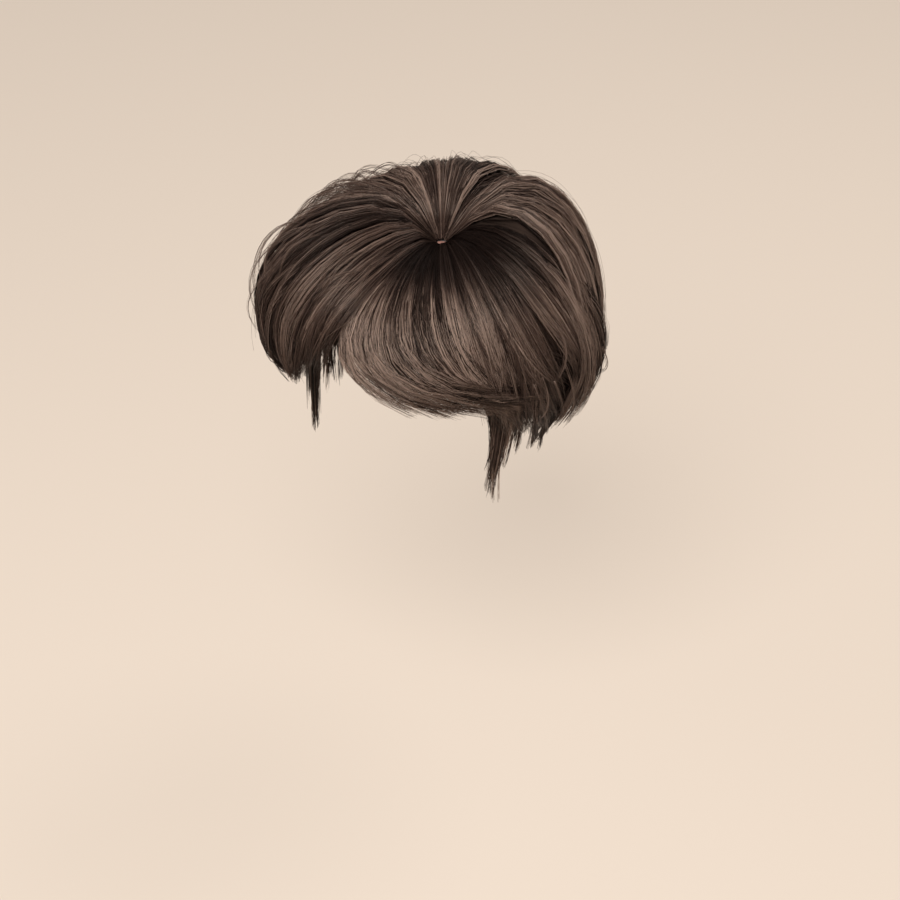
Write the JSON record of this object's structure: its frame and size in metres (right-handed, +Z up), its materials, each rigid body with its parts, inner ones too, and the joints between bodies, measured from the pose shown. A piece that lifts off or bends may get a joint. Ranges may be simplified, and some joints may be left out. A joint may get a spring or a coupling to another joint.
{
  "type": "hair topper",
  "caption": "Short hair topper with a crown whorl, a parted fringe and layered locks on a dome cap that clips to the wearer's own hair.",
  "frame": {"origin": "where the top of the wearer's head meets the inside of the cap", "axes": "+Z up, -Y the way the wearer faces, +X the wearer's left"},
  "size_m": [0.2294, 0.229, 0.2009],
  "materials": {
    "hair": "glossy dark brown hair with lighter brown strands",
    "cap": "matte dark brown mesh",
    "patch": "matte skin tone",
    "clip": "black enamel"
  },
  "bodies": {
    "root": {"base_cap": "cap", "crown_patch": "patch", "nape": "hair", "sideburn_left": "hair", "sideburn_right": "hair", "crown_left": "hair", "back_left": "hair", "back_right": "hair", "side_right": "hair", "fringe_right": "hair", "fringe_left": "hair", "side_left": "hair", "clip_front": "clip", "clip_left": "clip", "clip_right": "clip", "clip_back": "clip"}
  },
  "joints": []
}
